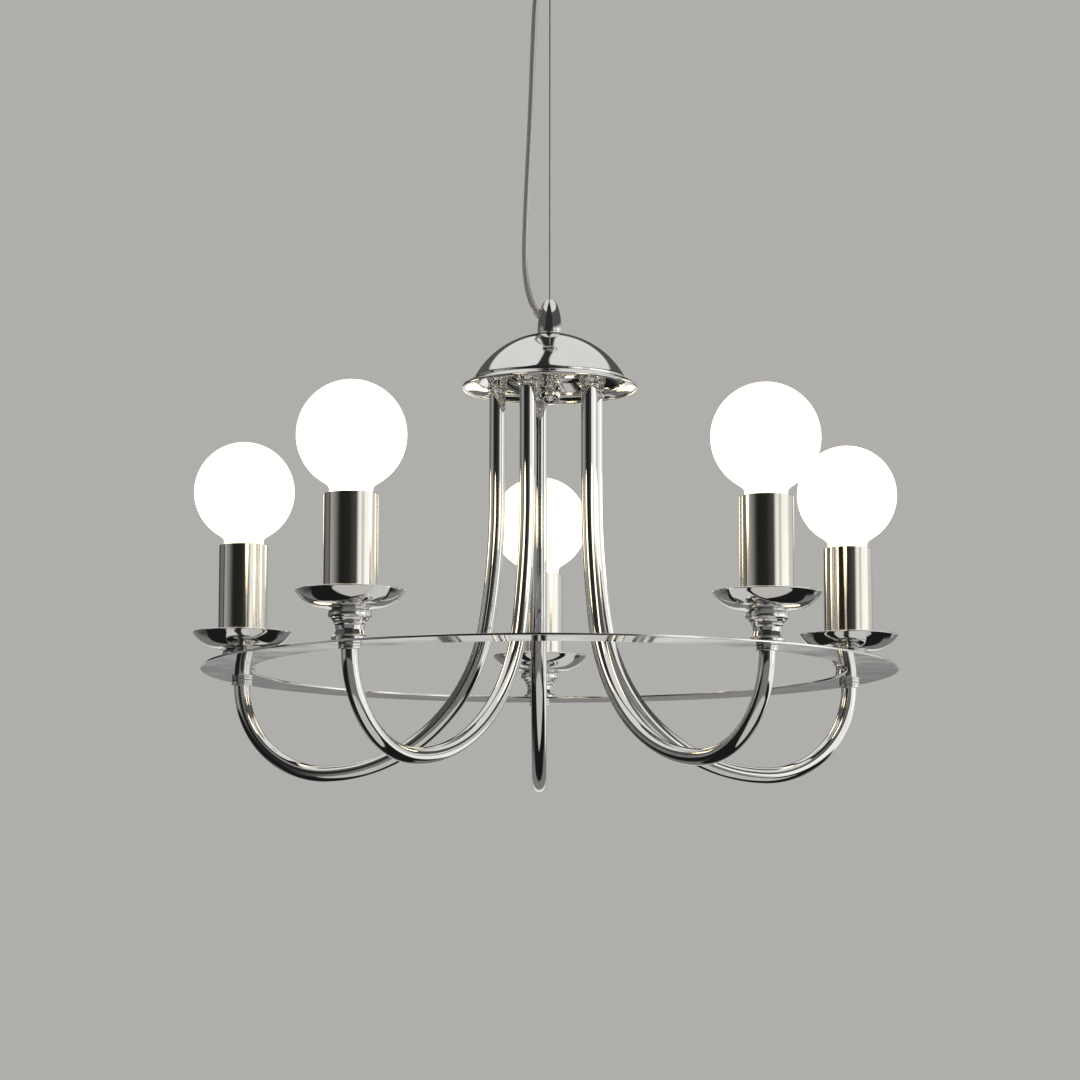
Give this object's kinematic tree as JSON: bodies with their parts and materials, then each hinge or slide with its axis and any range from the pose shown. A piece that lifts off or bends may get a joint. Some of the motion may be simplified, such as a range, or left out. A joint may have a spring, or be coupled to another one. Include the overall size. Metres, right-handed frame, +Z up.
{
  "type": "multi arm chandelier",
  "caption": "Chrome chandelier on a single steel wire: curved tube arms rise through a flat ring to dishes, candle sleeves and opal globe lamps, under a small spun dome.",
  "frame": {"origin": "centre of the bracket's face on the ceiling", "axes": "+Z up into the ceiling, the pendant hangs along -Z; +Y away from the viewer along the rear arm, +X to the right"},
  "size_m": [0.6694, 0.6695, 0.8075],
  "materials": {
    "polished_chrome": "polished chrome plate with faint wiping marks",
    "satin_nickel": "satin nickel, brushed round the tube",
    "opal_glass": "opal white glass, lit",
    "lamp_cap_metal": "plain rolled thread",
    "brass_fittings": "plain turned",
    "zinc_plated_steel": "zinc plated",
    "steel_wire": "stranded stainless wire",
    "holder_ceramic": "glazed",
    "terminal_plastic": "moulded",
    "clear_bush_plastic": "clear moulded",
    "cord_jacket": "smooth translucent jacket over silver braid",
    "lead_insulation": "silicone"
  },
  "bodies": {
    "ceiling": {"ceiling_bracket": "zinc_plated_steel", "upper_pin": "zinc_plated_steel", "supply_block": "terminal_plastic", "ceiling_cup": "polished_chrome", "outlet_bush": "clear_bush_plastic", "cup_screws": "zinc_plated_steel"},
    "hanger": {"hanger_link": "zinc_plated_steel", "lower_pin": "zinc_plated_steel"},
    "swivel": {"swivel_eye": "zinc_plated_steel"},
    "pendant": {"arm_1": "polished_chrome", "arm_2": "polished_chrome", "arm_3": "polished_chrome", "arm_4": "polished_chrome", "arm_5": "polished_chrome", "vase_1": "polished_chrome", "vase_2": "polished_chrome", "vase_3": "polished_chrome", "vase_4": "polished_chrome", "vase_5": "polished_chrome", "dish_1": "polished_chrome", "dish_2": "polished_chrome", "dish_3": "polished_chrome", "dish_4": "polished_chrome", "dish_5": "polished_chrome", "candle_sleeve_1": "satin_nickel", "candle_sleeve_2": "satin_nickel", "candle_sleeve_3": "satin_nickel", "candle_sleeve_4": "satin_nickel", "candle_sleeve_5": "satin_nickel", "ring": "polished_chrome", "ring_collars": "polished_chrome", "root_collars": "polished_chrome", "threaded_nipples": "brass_fittings", "hexagon_nuts": "zinc_plated_steel", "lampholders": "holder_ceramic", "screw_shells": "brass_fittings", "centre_contacts": "brass_fittings", "arm_leads": "lead_insulation", "hub_plate": "zinc_plated_steel", "stem": "brass_fittings", "finial": "polished_chrome", "junction_block": "terminal_plastic", "dome": "polished_chrome", "bullet_cap": "polished_chrome", "cord_bush": "clear_bush_plastic", "wire_ends": "steel_wire", "suspension_wire": "steel_wire", "power_cord": "cord_jacket"},
    "lamp_1": {"lamp_glass_1": "opal_glass", "lamp_cap_1": "lamp_cap_metal"},
    "lamp_2": {"lamp_glass_2": "opal_glass", "lamp_cap_2": "lamp_cap_metal"},
    "lamp_3": {"lamp_glass_3": "opal_glass", "lamp_cap_3": "lamp_cap_metal"},
    "lamp_4": {"lamp_glass_4": "opal_glass", "lamp_cap_4": "lamp_cap_metal"},
    "lamp_5": {"lamp_glass_5": "opal_glass", "lamp_cap_5": "lamp_cap_metal"}
  },
  "joints": [
    {"name": "swing_fore_and_aft", "type": "hinge", "parent": "ceiling", "child": "hanger", "pos_m": [0, 0, -0.032], "axis": [1, 0, 0], "range_deg": [-5, 5]},
    {"name": "swing_side_to_side", "type": "hinge", "parent": "hanger", "child": "swivel", "pos_m": [0, 0, -0.044], "axis": [0, 1, 0], "range_deg": [-5, 5]},
    {"name": "turn_on_the_wire", "type": "hinge", "parent": "swivel", "child": "pendant", "pos_m": [0, 0, -0.058], "axis": [0, 0, 1], "range_deg": [-30, 30]},
    {"name": "lamp_1_unscrew", "type": "slide", "parent": "pendant", "child": "lamp_1", "axis": [0, 0, 1], "range_m": [0, 0.05]},
    {"name": "lamp_2_unscrew", "type": "slide", "parent": "pendant", "child": "lamp_2", "axis": [0, 0, 1], "range_m": [0, 0.05]},
    {"name": "lamp_3_unscrew", "type": "slide", "parent": "pendant", "child": "lamp_3", "axis": [0, 0, 1], "range_m": [0, 0.05]},
    {"name": "lamp_4_unscrew", "type": "slide", "parent": "pendant", "child": "lamp_4", "axis": [0, 0, 1], "range_m": [0, 0.05]},
    {"name": "lamp_5_unscrew", "type": "slide", "parent": "pendant", "child": "lamp_5", "axis": [0, 0, 1], "range_m": [0, 0.05]}
  ]
}
